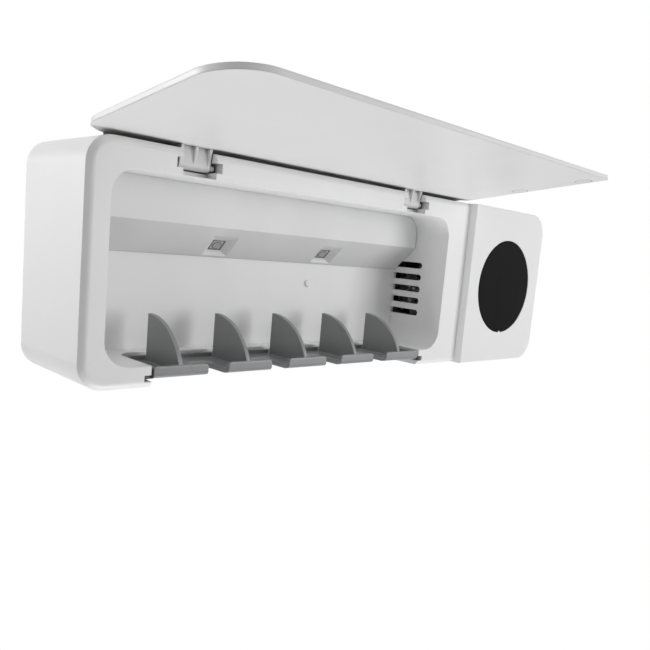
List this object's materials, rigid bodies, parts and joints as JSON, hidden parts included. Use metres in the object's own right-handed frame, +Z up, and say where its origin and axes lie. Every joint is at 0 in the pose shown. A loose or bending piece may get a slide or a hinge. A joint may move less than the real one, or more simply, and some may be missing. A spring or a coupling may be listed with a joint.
{
  "type": "toothbrush sterilizer box",
  "caption": "Wall-hung white sterilizer box for toothbrushes: lift-up lid, slotted rack with fins, lamp ledge, side fan and a round black push panel.",
  "frame": {"origin": "centre of the bracket's back face, where it lies on the wall, half-way up and half-way along the box", "axes": "+X to the right along the box, seen from the front; +Y into the wall; +Z up"},
  "size_m": [0.2662, 0.115, 0.0929],
  "materials": {
    "shell_white": "satin",
    "cover_white": "satin",
    "lid_white": "satin",
    "ledge_white": "matt",
    "panel_black": "satin",
    "rack_grey": "matt",
    "black_plastic": "matt",
    "board_green": "satin",
    "steel": "brushed",
    "magnet_nickel": "plated",
    "socket_steel": "plated",
    "lamp_package": "matt",
    "window_glass": "clear",
    "cell_wrap": "wrapped",
    "bracket_grey": "matt"
  },
  "bodies": {
    "housing": {"front_housing": "shell_white", "pod_cover": "cover_white", "press_switch": "black_plastic", "control_board": "board_green", "control_screws": "steel", "catch_magnets": "magnet_nickel", "hinge_pins": "steel", "lid_sensor": "board_green", "handle_rack": "rack_grey", "lamp_cover": "ledge_white", "uv_lamps": "lamp_package", "lamp_windows": "window_glass", "lamp_board": "board_green", "fan_frame": "black_plastic", "fan_screws": "steel", "back_cover": "shell_white", "cover_screws": "steel", "wall_bracket": "bracket_grey", "main_board": "board_green", "main_screws": "steel", "charging_socket": "socket_steel", "battery_cell": "cell_wrap", "battery_holder": "black_plastic"},
    "lid": {"lid_plate": "lid_white", "lid_magnets": "magnet_nickel"},
    "panel": {"round_panel": "panel_black", "switch_plunger": "black_plastic"},
    "impeller": {"fan_impeller": "black_plastic"}
  },
  "joints": [
    {"name": "lid_hinge", "type": "hinge", "parent": "housing", "child": "lid", "pos_m": [0, -0.0413, 0.0352], "axis": [1, 0, 0], "range_deg": [0, 97.8]},
    {"name": "button_press", "type": "slide", "parent": "housing", "child": "panel", "axis": [0, 1, 0], "range_m": [0, 0.0008], "stiffness_N_per_m": 800, "springref_m": -0.001},
    {"name": "fan_spin", "type": "hinge", "parent": "housing", "child": "impeller", "pos_m": [0.0564, -0.0233, -0.0048], "axis": [1, 0, 0], "continuous": true}
  ]
}
